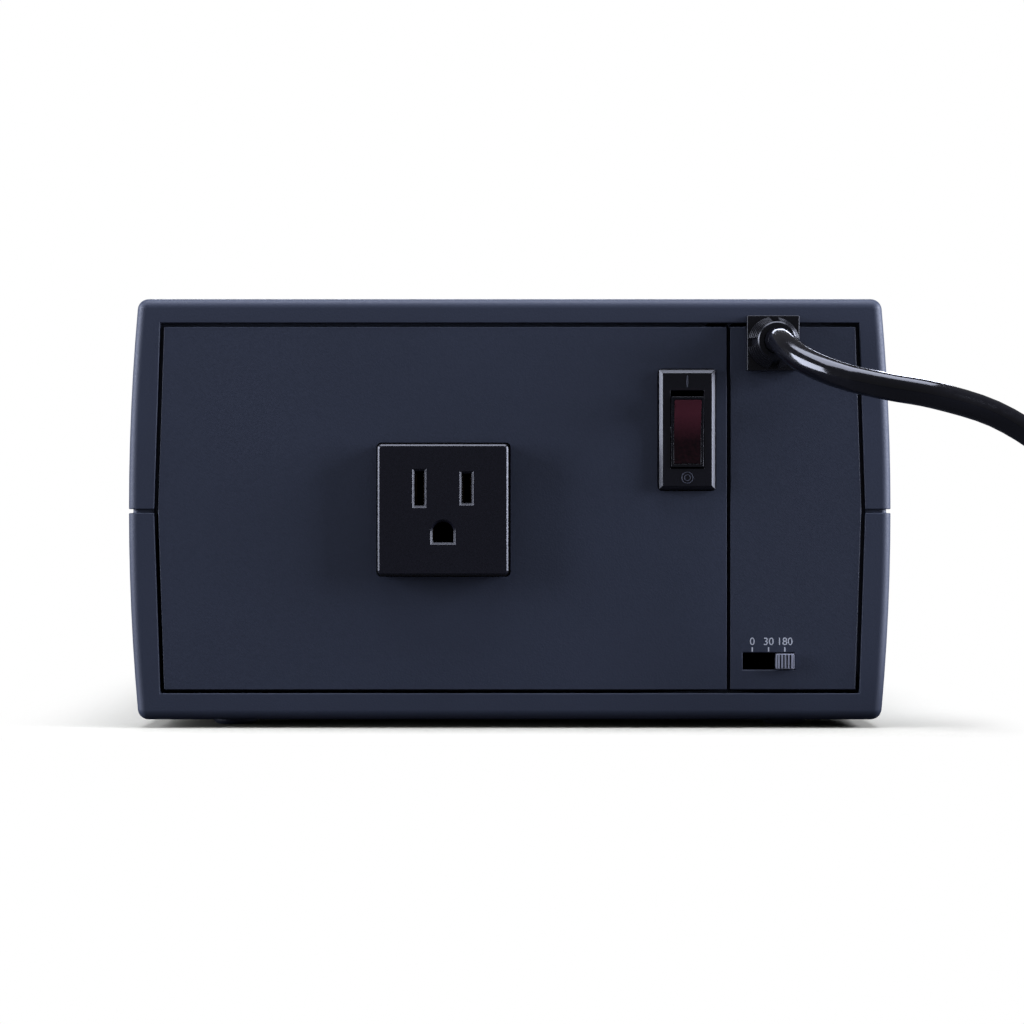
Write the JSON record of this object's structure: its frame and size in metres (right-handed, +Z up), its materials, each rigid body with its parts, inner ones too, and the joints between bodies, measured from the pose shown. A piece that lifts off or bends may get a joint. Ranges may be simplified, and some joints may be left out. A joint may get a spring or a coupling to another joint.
{
  "type": "uninterruptible power supply",
  "caption": "Desktop uninterruptible power supply: bowed clamshell case, grounded outlet, rocker breaker, delay switch, mains lead, battery and transformer inside.",
  "frame": {"origin": "centre of the footprint on the floor under the feet, measured without the mains lead", "axes": "+X right seen from the back, +Y from the back panel with the outlet to the front panel, +Z up"},
  "size_m": [0.3573, 0.3822, 0.1162],
  "materials": {
    "case_plastic": "fine moulded texture, satin",
    "panel_plastic": "fine moulded texture, satin",
    "service_plastic": "fine moulded texture, satin",
    "foot_rubber": "moulded rubber, dull",
    "zinc_steel": "zinc plated",
    "outlet_plastic": "smooth, half gloss",
    "contact_brass": "plain stamped brass",
    "breaker_plastic": "smooth, half gloss",
    "rocker_plastic": "smooth gloss",
    "lens_red": "unlit tinted lens, glossy",
    "knob_plastic": "satin, ribbed",
    "button_plastic": "satin",
    "smoked_lens": "dark tinted, glossy",
    "light_lens": "diffuse lens, unlit",
    "board_green": "solder mask",
    "battery_plastic": "moulded, satin",
    "terminal_tin": "tinned",
    "foam": "closed cell foam",
    "lamination_steel": "varnished steel laminations",
    "winding_tape": "taped copper winding",
    "heatsink_aluminium": "extruded",
    "component_black": "moulded epoxy",
    "capacitor_sleeve": "shrink sleeve",
    "relay_blue": "moulded",
    "fuse_amber": "tinted plastic",
    "copper_wire": "enamelled copper",
    "connector_white": "moulded nylon",
    "lead_red": "PVC insulation",
    "lead_black": "PVC insulation",
    "lead_white": "PVC insulation",
    "lead_blue": "PVC insulation",
    "ribbon_grey": "flat cable",
    "relief_plastic": "moulded PVC, half gloss",
    "cord_pvc": "glossy PVC jacket",
    "tie_fabric": "hook and loop tie",
    "plug_pvc": "moulded PVC, satin",
    "blade_nickel": "nickel plated brass"
  },
  "bodies": {
    "case": {"lower_cover": "case_plastic", "upper_cover": "case_plastic", "outlet_panel": "panel_plastic", "service_panel": "service_plastic", "front_panel": "panel_plastic", "rubber_feet": "foot_rubber", "foot_screws": "zinc_steel", "case_screws": "zinc_steel", "outlet_body": "outlet_plastic", "outlet_contacts": "contact_brass", "breaker_body": "breaker_plastic", "rocker_pin": "zinc_steel", "breaker_terminals": "contact_brass", "slide_switch_body": "zinc_steel", "slide_switch_pins": "contact_brass", "button_switch": "component_black", "status_window": "smoked_lens", "status_lights": "light_lens", "display_board": "board_green", "display_screws": "zinc_steel", "battery_case": "battery_plastic", "battery_lid": "battery_plastic", "battery_terminals": "terminal_tin", "battery_pad": "foam", "battery_strap": "zinc_steel", "strap_screws": "zinc_steel", "transformer_core": "lamination_steel", "transformer_winding": "winding_tape", "transformer_bracket": "zinc_steel", "transformer_screws": "zinc_steel", "main_board": "board_green", "board_screws": "zinc_steel", "heatsinks": "heatsink_aluminium", "power_transistors": "component_black", "capacitors": "capacitor_sleeve", "relays": "relay_blue", "fuses": "fuse_amber", "choke": "copper_wire", "controller_chip": "component_black", "buzzer": "component_black", "board_connectors": "connector_white", "battery_lead_red": "lead_red", "battery_lead_black": "lead_black", "outlet_leads": "lead_white", "breaker_leads": "lead_blue", "display_cable": "ribbon_grey", "strain_relief": "relief_plastic", "power_cord": "cord_pvc", "cord_coil": "cord_pvc", "cord_tail": "cord_pvc", "cord_tie": "tie_fabric", "plug_body": "plug_pvc", "plug_blades": "blade_nickel", "plug_ground_pin": "blade_nickel"},
    "rocker": {"breaker_rocker": "rocker_plastic", "rocker_lens": "lens_red"},
    "knob": {"slide_knob": "knob_plastic"},
    "button": {"power_button": "button_plastic", "button_plunger": "component_black"}
  },
  "joints": [
    {"name": "rocker_tilt", "type": "hinge", "parent": "case", "child": "rocker", "pos_m": [0.0479, -0.1625, 0.0807], "axis": [-1, 0, 0], "range_deg": [0, 20]},
    {"name": "delay_slide", "type": "slide", "parent": "case", "child": "knob", "axis": [1, 0, 0], "range_m": [-0.0088, 0]},
    {"name": "button_press", "type": "slide", "parent": "case", "child": "button", "axis": [0, -1, 0], "range_m": [0, 0.0012], "stiffness_N_per_m": 1200, "springref_m": -0.0006}
  ]
}
